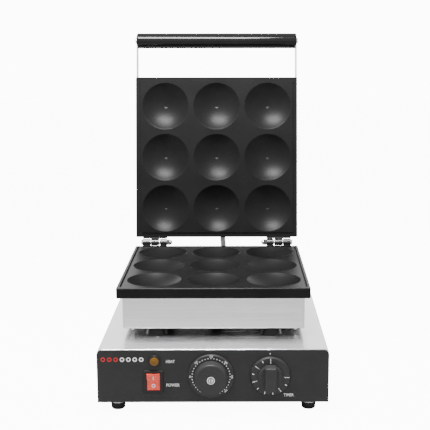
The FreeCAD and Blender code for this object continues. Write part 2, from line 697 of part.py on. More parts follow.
def standoff_screws():
    """A screw up through each standoff, with its nut on the housing's floor."""
    seat = SHELL_TOP - SHEET
    nut_z = HOUSING_Z + HOUSING_SHEET
    screws = [screw_up(x, y, seat, 4.5, 3.5, M5, nut_z + 6.0 - seat) for x, y in STANDOFFS]
    return group(screws + [pierced_nut(x, y, nut_z, 4.0, M5) for x, y in STANDOFFS])


# Hinges: leaves screwed to the castings' rear edges, turning on one bolt each side

def hinge_screw_holes(y, z):
    return [bar(M4, (side * x, y - 9.0, z), (side * x, y + 1.0, z))
            for side in (-1, 1) for x in HINGE_SCREW_X]


def hinge_screws_at(y, z):
    """Countersunk screws, flush with the leaf."""
    screws = []
    for x in HINGE_SCREW_X:
        for side in (-1, 1):
            head = cone(M4, 3.8, (side * x, y + 0.4, z), (side * x, y + LEAF, z))
            screws.append(fuse([head, bar(M4, (side * x, y - 8.0, z), (side * x, y + 0.4, z))]))
    return group(screws)


def leaf_plate(y, z0, z1, screw_z):
    leaf = block(INNER_KNUCKLE[0], OUTER_KNUCKLE[1], y, y + LEAF, z0, z1)
    leaf = leaf.makeFillet(1.5, edges_where(leaf, along_y))
    heads = [cone(M4, 3.8, (x, y + 0.4, screw_z), (x, y + LEAF, screw_z)) for x in HINGE_SCREW_X]
    return cut(leaf, heads + [bar(M4, (x, y - 1.0, screw_z), (x, y + 1.0, screw_z)) for x in HINGE_SCREW_X])


def knuckle(x0, x1):
    return bar(KNUCKLE_RADIUS, (x0, HINGE_Y, HINGE_Z), (x1, HINGE_Y, HINGE_Z))


def pin_bore():
    return bar(PIN_RADIUS + RUNNING, (60.0, HINGE_Y, HINGE_Z), (140.0, HINGE_Y, HINGE_Z))


def hinge_bracket(with_stop):
    parts = [leaf_plate(PLATE_REAR, RIM_Z + 1.0, PLATE_TOP - 0.4, BRACKET_SCREW_Z)]
    for x0, x1 in (INNER_KNUCKLE, OUTER_KNUCKLE):
        parts.append(knuckle(x0, x1))
        parts.append(block(x0, x1, PLATE_REAR + 1.0, HINGE_Y, PLATE_TOP - 3.0, PLATE_TOP - 0.4))
        parts.append(block(x0, x1, HINGE_Y - KNUCKLE_RADIUS + 0.2, HINGE_Y, PLATE_TOP - 3.0, HINGE_Z))
    if with_stop:
        parts.append(stop_tab())
    return cut(fuse(parts), [pin_bore()])


def stop_tab():
    """The tab behind the pin that the open lid leans on, with its top along the lid's hinge leaf."""
    tilt = math.radians(LID_OPEN - 90.0)
    along = Vector(0.0, math.cos(tilt), -math.sin(tilt))
    away = Vector(0.0, math.sin(tilt), math.cos(tilt))
    pin = Vector(INNER_KNUCKLE[0] + 0.5, HINGE_Y, HINGE_Z)
    top = pin + away * (LID_EDGE_TO_PIN - LEAF - STOP_GAP)
    foot = pin + away * 1.0
    points = [top, top + along * STOP_LENGTH, foot + along * STOP_LENGTH, foot, top]
    return Part.Face(Part.makePolygon(points)).extrude(Vector(9.0, 0.0, 0.0))


def hinge_bracket_right():
    return hinge_bracket(True)


def hinge_bracket_left():
    return mirrored(hinge_bracket(False))


def hinge_bracket_screws():
    return hinge_screws_at(PLATE_REAR, BRACKET_SCREW_Z)


def hinge_pins():
    bolt = fuse([bar(PIN_RADIUS, (81.5, HINGE_Y, HINGE_Z), (122.5, HINGE_Y, HINGE_Z)),
                 cone(4.6, 3.6, (122.5, HINGE_Y, HINGE_Z), (125.2, HINGE_Y, HINGE_Z))])
    return group([bolt, mirrored(bolt)])


def hinge_pin_nuts():
    prism = hexagon(8.0, (77.5, HINGE_Y, HINGE_Z), (82.8, HINGE_Y, HINGE_Z))
    dome = Part.makeSphere(3.9, Vector(77.5, HINGE_Y, HINGE_Z))
    far_half = block(77.5, 90.0, HINGE_Y - 9.0, HINGE_Y + 9.0, HINGE_Z - 9.0, HINGE_Z + 9.0)
    tip = cut(dome, [far_half])
    nut = cut(fuse([prism, tip]), [bar(PIN_RADIUS, (81.5, HINGE_Y, HINGE_Z), (90.0, HINGE_Y, HINGE_Z))])
    return group([nut, mirrored(nut)])


# Lid, drawn closed

def upper_plate():
    half = PLATE_WIDTH / 2
    rim = block(-half, half, LID_FRONT, LID_REAR, LID_BORDER_Z, LID_RIM_Z)
    rim = rim.makeFillet(2.0, edges_where(rim, lambda b: along_z(b) or b.ZMin > LID_RIM_Z - 0.01))
    rim = rim.makeChamfer(0.8, edges_where(rim, lambda b: b.ZMax < LID_BORDER_Z + 0.01))
    inner = block(-half + BLOCK_INSET, half - BLOCK_INSET, LID_FRONT + BLOCK_INSET, LID_REAR - BLOCK_INSET,
                  LID_RIM_Z - 4.0, LID_BLOCK_Z)
    field = block(-half + 6.6, half - 6.6, LID_FRONT + 7.4, LID_REAR - 6.6, LID_FIELD_Z, LID_BORDER_Z + 1.0)
    field = field.makeChamfer(1.0, edges_where(field, lambda b: b.ZMax < LID_FIELD_Z + 0.01))
    plate = cut(fuse([rim, inner, field]), cavities(LID_FRONT, LID_FIELD_Z, -1))
    plate = soften_cavities(plate, LID_FIELD_Z)
    tools = [tube(lid_heater_path(), HEATER_RADIUS + RUNNING, HEATER_BEND)]
    tools += stud_holes(lid_stud_spots(), LID_BLOCK_Z - 7.0, LID_BLOCK_Z + 1.0)
    tools += hinge_screw_holes(LID_REAR, LID_SCREW_Z)
    return cut(plate, tools)


def lid_shift():
    """How far the lid's casting stands in front of the lower one."""
    return LID_FRONT - PLATE_FRONT


def lid_heater_path():
    return [(x, y + lid_shift(), LID_BLOCK_Z) for x, y, z in heater_path(0.0)]


def lid_stud_spots():
    return [(x, y + lid_shift()) for x, y in PLATE_STUDS]


def upper_heating_element():
    return tube(lid_heater_path(), HEATER_RADIUS, HEATER_BEND)


def upper_element_terminals():
    return element_terminals(TERMINAL_Y + lid_shift(), LID_BLOCK_Z, 1)


def upper_element_clamp():
    z = LID_BLOCK_Z + HEATER_RADIUS
    return element_clamp(z + 0.1, z + 2.1)


def upper_insulation():
    z1 = LID_TOP_Z - HOUSING_SHEET
    return block(-96.0, 96.0, 84.0, 280.0, z1 - 24.0, z1)


def lid_cover():
    y0 = LID_FRONT + PLATE_INSET
    y1 = LID_REAR - PLATE_INSET
    half = HOUSING_WIDTH / 2
    body = tray(-half, half, y0, y1, -LID_TOP_Z, -LID_RIM_Z, HOUSING_SHEET, 3.0, 2.0)
    body = body.mirror(Vector(0, 0, 0), Vector(0, 0, 1))
    tools = [bar(M5 + CLEAR, (x, y, LID_TOP_Z - 3.0), (x, y, LID_TOP_Z + 1.0)) for x, y in lid_stud_spots()]
    gland = (LID_GLAND_X, y1 - 4.0, LID_GLAND_Z)
    tools.append(bar(LID_GLAND_RADIUS - 1.5, gland, (LID_GLAND_X, y1 + 1.0, LID_GLAND_Z)))
    tools += arm_screw_bores(half - 3.0, half + 1.0)
    return cut(body, tools)


def lid_studs():
    """Four studs that hold the cover on the upper casting, with domed nuts on the lid's outer face."""
    z = LID_TOP_Z
    nuts = [bar(M5, (x, y, LID_BLOCK_Z - 7.0), (x, y, z + 5.0)) for x, y in lid_stud_spots()]
    for x, y in lid_stud_spots():
        dome = Part.makeSphere(3.9, Vector(x, y, z + 4.5))
        top = cut(dome, [block(x - 9.0, x + 9.0, y - 9.0, y + 9.0, z - 9.0, z + 4.5)])
        nut = fuse([hexagon(8.0, (x, y, z), (x, y, z + 4.5)), top])
        nuts.append(cut(nut, [bar(M5, (x, y, z), (x, y, z + 5.0))]))
    return group(nuts)


def lid_hinge_leaf():
    y = LID_REAR
    parts = [leaf_plate(y, LID_BORDER_Z + 1.6, LID_RIM_Z - 0.6, LID_SCREW_Z),
             knuckle(*LUG),
             block(LUG[0], LUG[1], y + 1.0, HINGE_Y, HINGE_Z, HINGE_Z + KNUCKLE_RADIUS)]
    return cut(fuse(parts), [pin_bore()])


def lid_hinge_leaf_left():
    return mirrored(lid_hinge_leaf())


def lid_hinge_screws():
    return hinge_screws_at(LID_REAR, LID_SCREW_Z)


def lid_gland():
    x, z = LID_GLAND_X, LID_GLAND_Z
    y = LID_REAR - PLATE_INSET
    collar = bar(LID_GLAND_RADIUS, (x, y, z), (x, y + LID_GLAND_LENGTH, z))
    collar = collar.makeFillet(1.2, edges_where(collar, lambda b: b.YMin > y + LID_GLAND_LENGTH - 0.1))
    neck = bar(LID_GLAND_RADIUS - 1.6, (x, y - HOUSING_SHEET, z), (x, y, z))
    inner = bar(LID_GLAND_RADIUS, (x, y - HOUSING_SHEET - 2.5, z), (x, y - HOUSING_SHEET, z))
    bore = bar(CONDUIT_RADIUS + 0.15, (x, y - 9.0, z), (x, y + 9.0, z))
    return cut(fuse([collar, neck, inner]), [bore])


# Handle, drawn closed

def arm_screw_bores(x0, x1):
    return [bar(M4, (side * x0, y, GRIP_Z), (side * x1, y, GRIP_Z)) for side in (-1, 1) for y in ARM_SCREW_Y]


def handle_arm():
    """A flat bar that runs along the cover's side, steps out past the plate and carries the grip."""
    wall = HOUSING_WIDTH / 2
    far = GRIP_LENGTH / 2 - ARM_THICK
    low = GRIP_Z - ARM_WIDTH / 2
    rear = 172.0
    bend_rear = 80.0
    bend_front = 66.0
    tip = GRIP_Y - ARM_WIDTH / 2
    outer_wall = wall + ARM_THICK
    outer_far = far + ARM_THICK
    outline = [(wall, rear), (wall, bend_rear), (far, bend_front), (far, tip), (outer_far, tip),
               (outer_far, bend_front + 0.9), (outer_wall, bend_rear + 0.9), (outer_wall, rear), (wall, rear)]
    wire = Part.makePolygon([Vector(x, y, low) for x, y in outline])
    arm = Part.Face(wire).extrude(Vector(0, 0, ARM_WIDTH))
    ends = edges_where(arm, lambda b: along_x(b) and b.XLength < ARM_THICK + 0.01)
    arm = arm.makeFillet(ARM_WIDTH / 2 - 0.3, ends)
    rod_hole = bar(ROD_RADIUS, (far - 3.0, GRIP_Y, GRIP_Z), (far + 5.0, GRIP_Y, GRIP_Z))
    return cut(arm, [rod_hole] + arm_screw_bores(100.0, 160.0))


def handle_arm_left():
    return mirrored(handle_arm())


def arm_screws():
    screws = []
    seat = HOUSING_WIDTH / 2 + ARM_THICK
    for y in ARM_SCREW_Y:
        head = bar(4.2, (seat, y, GRIP_Z), (seat + 2.4, y, GRIP_Z))
        head = head.makeFillet(1.2, edges_where(head, lambda b: b.XMin > seat + 2.3))
        screw = fuse([head, bar(M4, (seat - 8.0, y, GRIP_Z), (seat, y, GRIP_Z))])
        screws += [screw, mirrored(screw)]
    return group(screws)


def handle_grip():
    """A round grip whose ends are slotted, so that the arms lie flush in them."""
    half = GRIP_LENGTH / 2
    grip = bar(GRIP_RADIUS, (-half, GRIP_Y, GRIP_Z), (half, GRIP_Y, GRIP_Z))
    grip = grip.makeFillet(2.8, edges_where(grip, lambda b: b.XLength < 1e-3))
    slot_half = ARM_WIDTH / 2 + FIT
    slot = block(half - ARM_THICK, half + 1.0, GRIP_Y - slot_half, GRIP_Y + GRIP_RADIUS + 1.0,
                 GRIP_Z - slot_half, GRIP_Z + slot_half)
    bore = bar(ROD_RADIUS, (-half - 1.0, GRIP_Y, GRIP_Z), (half + 1.0, GRIP_Y, GRIP_Z))
    return cut(grip, [slot, mirrored(slot), bore])


def handle_rod():
    end = GRIP_LENGTH / 2
    return bar(ROD_RADIUS, (-end, GRIP_Y, GRIP_Z), (end, GRIP_Y, GRIP_Z))


def handle_end_screws():
    seat = GRIP_LENGTH / 2
    head = bar(4.8, (seat, GRIP_Y, GRIP_Z), (seat + 2.4, GRIP_Y, GRIP_Z))
    head = head.makeFillet(1.4, edges_where(head, lambda b: b.XMin > seat + 2.3))
    return group([head, mirrored(head)])


# Conduit between the base and the lid, at its open-lid shape

def opened(point):
    """Where a point of the closed lid is when the lid leans on its stop."""
    angle = math.radians(-LID_OPEN)
    x, y, z = point
    dy = y - HINGE_Y
    dz = z - HINGE_Z
    return (x, HINGE_Y + dy * math.cos(angle) - dz * math.sin(angle),
            HINGE_Z + dy * math.sin(angle) + dz * math.cos(angle))


def conduit():
    cover_rear = LID_REAR - PLATE_INSET
    inside = opened((LID_GLAND_X, cover_rear - 3.0, LID_GLAND_Z))
    outside = opened((LID_GLAND_X, cover_rear + 19.0, LID_GLAND_Z))
    x, y = GROMMET
    return tube([inside, outside, (14.5, 343.5, 130.0), (x, y, 106.0), (x, y, 68.0), (x + 9.0, y - 9.0, 46.0),
                 (x + 20.0, y - 24.0, 34.0)], CONDUIT_RADIUS)


# The sub-parts by body: everything is drawn in place, and the lid is turned open

BASE_NODES = {
    "base_shell": base_shell, "rear_panel": rear_panel, "rear_screws": rear_screws,
    "bottom_plate": bottom_plate, "rubber_feet": rubber_feet, "foot_spacers": foot_spacers,
    "foot_screws": foot_screws,
    "control_panel": control_panel,
    "power_switch_housing": power_switch_housing, "pilot_lamp_body": pilot_lamp_body,
    "pilot_lamp_lens": pilot_lamp_lens, "pilot_lamp_bulb": pilot_lamp_bulb,
    "thermostat_body": thermostat_body, "timer_body": timer_body,
    "thermostat_capillary": thermostat_capillary,
    "terminal_block": terminal_block, "earth_stud": earth_stud,
    "mains_gland": mains_gland, "wiring_loom": wiring_loom, "heater_leads": heater_leads,
    "wiring_sleeve": wiring_sleeve, "conduit_grommet": conduit_grommet, "conduit": conduit,
    "standoffs": standoffs, "standoff_screws": standoff_screws,
    "lower_housing": lower_housing, "lower_plate": lower_plate,
    "lower_heating_element": lower_heating_element, "lower_element_terminals": lower_element_terminals,
    "lower_element_clamp": lower_element_clamp, "lower_insulation": lower_insulation,
    "plate_studs": plate_studs,
    "hinge_bracket_right": hinge_bracket_right, "hinge_bracket_left": hinge_bracket_left,
    "hinge_bracket_screws": hinge_bracket_screws, "hinge_pins": hinge_pins,
    "hinge_pin_nuts": hinge_pin_nuts,
}
CONTROL_NODES = {
    "power_rocker": power_rocker,
    "thermostat_knob": thermostat_knob,
    "thermostat_knob_badge": thermostat_knob_badge,
    "thermostat_shaft": lambda: control_shaft(THERMOSTAT, THERMOSTAT_SHAFT_FRONT),
    "timer_knob": timer_knob,
    "timer_shaft": lambda: control_shaft(TIMER, TIMER_SHAFT_FRONT),
}
LID_NODES = {
    "upper_plate": upper_plate, "upper_heating_element": upper_heating_element,
    "upper_element_terminals": upper_element_terminals, "upper_element_clamp": upper_element_clamp,
    "upper_insulation": upper_insulation, "lid_cover": lid_cover, "lid_studs": lid_studs,
    "lid_hinge_leaf_right": lid_hinge_leaf,
    "lid_hinge_leaf_left": lid_hinge_leaf_left, "lid_hinge_screws": lid_hinge_screws,
    "lid_gland": lid_gland, "handle_arm_right": handle_arm, "handle_arm_left": handle_arm_left,
    "arm_screws": arm_screws, "handle_grip": handle_grip, "handle_rod": handle_rod,
    "handle_end_screws": handle_end_screws,
}


def main():
    shapes = {name: make() for name, make in {**BASE_NODES, **CONTROL_NODES}.items()}
    for name, make in LID_NODES.items():
        shapes[name] = make()
        shapes[name].rotate(Vector(0, HINGE_Y, HINGE_Z), Vector(1, 0, 0), -LID_OPEN)
    front = min(shape.BoundBox.YMin for shape in shapes.values())
    back = max(shape.BoundBox.YMax for shape in shapes.values())
    middle = (front + back) / 2
    os.makedirs("parts", exist_ok=True)
    for name, shape in shapes.items():
        shape.translate(Vector(0, -middle, 0))
        shape.exportStep("parts/" + name + ".step")
        print(name, len(shape.Solids), "solids", "valid", shape.isValid(), "volume", round(shape.Volume))
    print("Y of the row's origin", middle)
    return shapes, middle


main()
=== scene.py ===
import json
import math

import bmesh
import bpy
from mathutils import Matrix, Vector


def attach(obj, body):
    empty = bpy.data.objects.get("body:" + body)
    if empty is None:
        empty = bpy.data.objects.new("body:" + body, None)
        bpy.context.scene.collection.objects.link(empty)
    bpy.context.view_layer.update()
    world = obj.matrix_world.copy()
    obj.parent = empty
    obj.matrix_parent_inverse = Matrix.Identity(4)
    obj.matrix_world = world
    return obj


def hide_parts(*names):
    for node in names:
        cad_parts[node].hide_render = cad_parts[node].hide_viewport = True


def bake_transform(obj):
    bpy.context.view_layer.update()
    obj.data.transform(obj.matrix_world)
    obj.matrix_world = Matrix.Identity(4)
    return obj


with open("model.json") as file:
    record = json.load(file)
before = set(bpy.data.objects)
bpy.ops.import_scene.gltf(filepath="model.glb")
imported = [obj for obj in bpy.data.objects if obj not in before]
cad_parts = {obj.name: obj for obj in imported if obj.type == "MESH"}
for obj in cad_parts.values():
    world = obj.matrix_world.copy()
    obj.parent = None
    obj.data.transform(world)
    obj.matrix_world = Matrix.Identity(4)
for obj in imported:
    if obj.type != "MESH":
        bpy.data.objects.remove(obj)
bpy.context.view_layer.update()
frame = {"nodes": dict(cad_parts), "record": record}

NODES = frame["nodes"]
MM = 0.001

# The camera stands in front of the panel and looks slightly down
VIEW_POINT = Vector((27.7, -1368.0, 491.8)) * MM
VIEW_PITCH = 0.1884
VIEW_YAW = 0.003
VIEW_ROLL = -0.001
SENSOR = 36.0
LENS = 76.65
SHIFT = -0.0492

# Strengths of the surround and the floor: what the camera sees of them, and what lights the object
BACKDROP_SHOWN = 12.0
SURROUND_FRONT = 1.25
SURROUND_BEHIND = 2.6
FLOOR_GLOW = 11.0
FLOOR_LIT = 0.10
FLOOR_HALF = 6.0

# One softbox above and in front of the object, in metres and watts
SOFTBOX_PLACE = (-0.10, -0.225, 0.95)
SOFTBOX_TARGET = (0.0, 0.10, 0.25)
SOFTBOX_WIDTH = 0.42
SOFTBOX_DEPTH = 0.22
SOFTBOX_WATTS = 22.0

# The conduit's route in millimetres from inside the lid, through the grommet in the base
CONDUIT_ROUTE = [(9.5, 140.82, 178.17), (9.5, 136.92, 156.52), (14.5, 136.21, 130.0), (20.0, 142.71, 106.0),
                 (20.0, 142.71, 68.0), (29.0, 133.71, 46.0), (40.0, 118.71, 34.0)]
CONDUIT_DIAMETER = 8.7
HOSE_SIDES = 28
HOSE_STEP = 0.35 * MM
STRIP_PITCH = 2.1 * MM
STRIP_GROOVE = 0.28 * MM

# In millimetres: the panel's front, the middles of its controls, and how far their printed faces stand out
PANEL_FRONT = -207.286
THERMOSTAT = (-2.4, 52.1)
TIMER = (76.8, 51.7)
SWITCH = (-79.6, 43.9)
SKIRT_FACE = 4.0
TIMER_FACE = 4.2
BADGE_FACE = 18.8

# The share of a letter's size that a capital takes
CAP_HEIGHT = 0.70

# Print in millimetres: ink, then the panel's words as (word, x, z, height, squeeze), then its row of rings
INK = 0.12
INK_SUNK = 0.05
LABELS = [("HEAT", -56.7, 71.9, 4.0, 0.84), ("POWER", -53.7, 38.8, 4.2, 0.86),
          ("TIMER", 101.3, 24.6, 4.0, 0.86)]
LABEL_BOLD = 0.03
INDEX_DOT = (TIMER[0] - 0.5, 82.6)
RING_START = -146.4
RING_PITCH = 8.5
RING_HEIGHT = 74.8
RING_OUTER = 3.1
RING_INNER = 1.6
RED_RINGS = 3
WHITE_RINGS = 4

# The rocker's two faces lean from the valley between them, and it rests tilted
ROCKER_PIVOT = Vector((SWITCH[0], PANEL_FRONT + 1.0, SWITCH[1])) * MM
ROCKER_LEAN = math.atan2(2.0, 11.5)
ROCKER_TILT = math.radians(7.0)
ROCKER_VALLEY = 1.4

# Scales on the dials: circles in millimetres and angles in degrees, clockwise from the top
DOT_COUNT = 34
DOT_FIRST = -144
DOT_STEP = 9
DOT_CIRCLE = 25.4
DEGREES_CIRCLE = 27.9
TIMER_STEP = 26.8
TIMER_MARKS = 11
DIGIT_CIRCLE = 19.7


# Camera and studio

def add_camera():
    data = bpy.data.cameras.new("view_camera")
    data.sensor_width = SENSOR
    data.lens = LENS
    data.shift_x = SHIFT
    data.clip_end = 50.0
    camera = bpy.data.objects.new("view_camera", data)
    bpy.context.scene.collection.objects.link(camera)
    turn = Matrix.Rotation(-VIEW_YAW, 4, "Z") @ Matrix.Rotation(math.pi / 2 - VIEW_PITCH, 4, "X")
    camera.matrix_world = Matrix.Translation(VIEW_POINT) @ turn @ Matrix.Rotation(VIEW_ROLL, 4, "Z")
    bpy.context.scene.camera = camera


def add_softbox():
    data = bpy.data.lights.new("top_softbox", "AREA")
    data.shape = "RECTANGLE"
    data.size = SOFTBOX_WIDTH
    data.size_y = SOFTBOX_DEPTH
    data.energy = SOFTBOX_WATTS
    lamp = bpy.data.objects.new("top_softbox", data)
    bpy.context.scene.collection.objects.link(lamp)
    aim = (Vector(SOFTBOX_TARGET) - Vector(SOFTBOX_PLACE)).to_track_quat("-Z", "Y")
    lamp.matrix_world = Matrix.Translation(Vector(SOFTBOX_PLACE)) @ aim.to_matrix().to_4x4()


def add_world():
    """A white backdrop whose light is strongest behind the object and weaker above and in front."""
    world = bpy.data.worlds.new("studio_surround")
    world.use_nodes = True
    tree = world.node_tree
    shown = tree.nodes["Background"]
    shown.inputs["Color"].default_value = (1.0, 1.0, 1.0, 1.0)
    shown.inputs["Strength"].default_value = BACKDROP_SHOWN
    direction = add_node(tree, "ShaderNodeTexCoord").outputs["Generated"]
    parts = add_node(tree, "ShaderNodeSeparateXYZ", [("Vector", direction)])
    behind = spread(tree, parts.outputs["Y"], 0.0, 1.0, 0.0, 0.8)
    low = spread(tree, parts.outputs["Z"], 1.0, 0.0, 0.25, 0.65)
    both = add_node(tree, "ShaderNodeMath", [(0, behind), (1, low)], operation="MULTIPLY")
    strength = spread(tree, both.outputs[0], SURROUND_FRONT, SURROUND_BEHIND, 0.0, 1.0)
    lighting = add_node(tree, "ShaderNodeBackground", [("Strength", strength)])
    lighting.inputs["Color"].default_value = (1.0, 1.0, 1.0, 1.0)
    seen = add_node(tree, "ShaderNodeLightPath").outputs["Is Camera Ray"]
    joined = add_node(tree, "ShaderNodeMixShader",
                      [("Fac", seen), (1, lighting.outputs[0]), (2, shown.outputs[0])])
    tree.links.new(joined.outputs[0], tree.nodes["World Output"].inputs["Surface"])
    bpy.context.scene.world = world


def add_floor():
    mesh = bpy.data.meshes.new("floor")
    corners = [(x * FLOOR_HALF, y * FLOOR_HALF, 0) for x, y in ((-1, -1), (1, -1), (1, 1), (-1, 1))]
    mesh.from_pydata(corners, [], [(0, 1, 2, 3)])
    floor = bpy.data.objects.new("floor", mesh)
    bpy.context.scene.collection.objects.link(floor)
    floor.data.materials.append(floor_material())


# Material building blocks

def new_material(name):
    material = bpy.data.materials.new(name)
    material.use_nodes = True
    return material, material.node_tree, material.node_tree.nodes["Principled BSDF"]


def add_node(tree, kind, links=(), **values):
    """Adds a node; values that name an input set it, and the others are the node's own settings."""
    made = tree.nodes.new(kind)
    for key, value in values.items():
        if key in made.inputs:
            made.inputs[key].default_value = value
        else:
            setattr(made, key, value)
    for name, source in links:
        tree.links.new(source, made.inputs[name])
    return made


def place_vector(tree, scale):
    """The position on the piece in metres, stretched by a scale per axis."""
    coordinates = add_node(tree, "ShaderNodeTexCoord")
    mapping = add_node(tree, "ShaderNodeMapping", [("Vector", coordinates.outputs["Object"])], Scale=scale)
    return mapping.outputs["Vector"]


def noise(tree, vector, scale, detail=4.0, roughness=0.6):
    made = add_node(tree, "ShaderNodeTexNoise", [("Vector", vector)], Scale=scale, Detail=detail,
                    Roughness=roughness)
    return made.outputs["Fac"]


def spread(tree, value, low, high, from_low=0.3, from_high=0.7):
    made = add_node(tree, "ShaderNodeMapRange", [("Value", value)])
    for name, number in (("From Min", from_low), ("From Max", from_high), ("To Min", low), ("To Max", high)):
        made.inputs[name].default_value = number
    return made.outputs["Result"]


def mix_colours(tree, factor, first, second):
    made = add_node(tree, "ShaderNodeMix", data_type="RGBA")
    for socket in made.inputs:
        if socket.type == "RGBA":
            socket.default_value = (*(first if socket.name == "A" else second), 1.0)
    tree.links.new(factor, made.inputs["Factor"])
    return next(s for s in made.outputs if s.type == "RGBA")


def mix_values(tree, factor, first, second):
    made = add_node(tree, "ShaderNodeMix", data_type="FLOAT")
    tree.links.new(factor, made.inputs["Factor"])
    tree.links.new(first, made.inputs["A"])
    tree.links.new(second, made.inputs["B"])
    return made.outputs["Result"]


def add_bump(tree, shader, height, strength, distance):
    made = add_node(tree, "ShaderNodeBump", [("Height", height)], Strength=strength, Distance=distance)
    tree.links.new(made.outputs["Normal"], shader.inputs["Normal"])


def floor_material():
    """A matt grey sweep that glows white to the camera, and only faintly to the object."""
    material, tree, shader = new_material("floor_pale")
    shader.inputs["Roughness"].default_value = 0.9
    shader.inputs["Specular IOR Level"].default_value = 0.1
    soft = noise(tree, place_vector(tree, (1, 1, 1)), 3.0)
    tree.links.new(mix_colours(tree, soft, grey(0.34), grey(0.38)), shader.inputs["Base Color"])
    shader.inputs["Emission Color"].default_value = (1.0, 1.0, 1.0, 1.0)
    seen = add_node(tree, "ShaderNodeLightPath").outputs["Is Camera Ray"]
    tree.links.new(spread(tree, seen, FLOOR_LIT, FLOOR_GLOW, 0.0, 1.0), shader.inputs["Emission Strength"])
    return material


def streaks(tree, on_end, along, across, detail, roughness):
    """Noise drawn out along X, or upright where a face looks to the side."""
    return mix_values(tree, on_end,
                      noise(tree, place_vector(tree, (along, across, across)), 1.0, detail, roughness),
                      noise(tree, place_vector(tree, (across, across, along)), 1.0, detail, roughness))


def brushed_steel(name, tint, rough):
    """Stainless sheet with a fine straight grain: across the front and top, and upright on the ends.

    Faces that look down get a darker colour: painted shade, for the shadowed gap under the housing.
    """
    material, tree, shader = new_material(name)
    shader.inputs["Metallic"].default_value = 1.0
    shader.inputs["Anisotropic"].default_value = 0.7
    normal = add_node(tree, "ShaderNodeNewGeometry").outputs["Normal"]
    facing = add_node(tree, "ShaderNodeSeparateXYZ", [("Vector", normal)])
    on_end = add_node(tree, "ShaderNodeMath", [(0, facing.outputs["X"])], operation="ABSOLUTE").outputs[0]
    # painted shade: the base colour is scaled down to 0.08 on faces that look down, as under the housing
    underside_shade = spread(tree, facing.outputs["Z"], 0.08, 1.0, -0.9, -0.6)
    fine = streaks(tree, on_end, 12, 2600, 3.0, 0.7)
    coarse = streaks(tree, on_end, 5, 420, 5.0, 0.75)
    broad = noise(tree, place_vector(tree, (1, 1, 1)), 9.0, 3.0)
    clean = mix_colours(tree, coarse, tuple(c * 0.80 for c in tint), tint)
    shaded_tint = add_node(tree, "ShaderNodeVectorMath", [(0, clean), ("Scale", underside_shade)], operation="SCALE")
    tree.links.new(shaded_tint.outputs[0], shader.inputs["Base Color"])
    mixed = add_node(tree, "ShaderNodeMath", [(0, spread(tree, coarse, rough - 0.05, rough + 0.05)),
                                              (1, spread(tree, broad, -0.03, 0.03))], operation="ADD")
    tree.links.new(mixed.outputs[0], shader.inputs["Roughness"])
    grain = add_node(tree, "ShaderNodeCombineXYZ", [("Z", on_end)], X=1.0).outputs[0]
    tangent = add_node(tree, "ShaderNodeVectorMath", [(0, normal), (1, grain)], operation="CROSS_PRODUCT")
    tree.links.new(tangent.outputs[0], shader.inputs["Tangent"])
    add_bump(tree, shader, fine, 0.10, 0.00003)
    return material


def plain_metal(name, tint, rough):
    material, tree, shader = new_material(name)
    shader.inputs["Metallic"].default_value = 1.0
    cloud = noise(tree, place_vector(tree, (1, 1, 1)), 160.0)
    tree.links.new(mix_colours(tree, cloud, tuple(c * 0.86 for c in tint), tint), shader.inputs["Base Color"])
    tree.links.new(spread(tree, cloud, rough - 0.06, rough + 0.08), shader.inputs["Roughness"])
    add_bump(tree, shader, noise(tree, place_vector(tree, (1, 1, 1)), 900.0), 0.08, 0.00003)
    return material


def coated(name, dark, light, rough, grain, bump, specular=0.5, metallic=0.0, coat=0.0, clear=0.0):
    """Paint, plastic, rubber or coating: a fine grain in colour, roughness and height."""
    material, tree, shader = new_material(name)
    shader.inputs["Metallic"].default_value = metallic
    shader.inputs["Specular IOR Level"].default_value = specular
    shader.inputs["Coat Weight"].default_value = coat
    shader.inputs["Coat Roughness"].default_value = 0.06
    shader.inputs["Transmission Weight"].default_value = clear
    vector = place_vector(tree, (1, 1, 1))
    fine = noise(tree, vector, grain, 3.0, 0.65)
    broad = noise(tree, vector, 18.0, 3.0)
    both = add_node(tree, "ShaderNodeMath", [(0, fine), (1, broad)], operation="MULTIPLY")
    tree.links.new(mix_colours(tree, spread(tree, both.outputs[0], 0.0, 1.0, 0.1, 0.45), dark, light),
                   shader.inputs["Base Color"])
    tree.links.new(spread(tree, fine, rough - 0.05, rough + 0.05), shader.inputs["Roughness"])
    add_bump(tree, shader, fine, bump, 0.00006)
    return material


def grey(level):
    return (level, level, level)


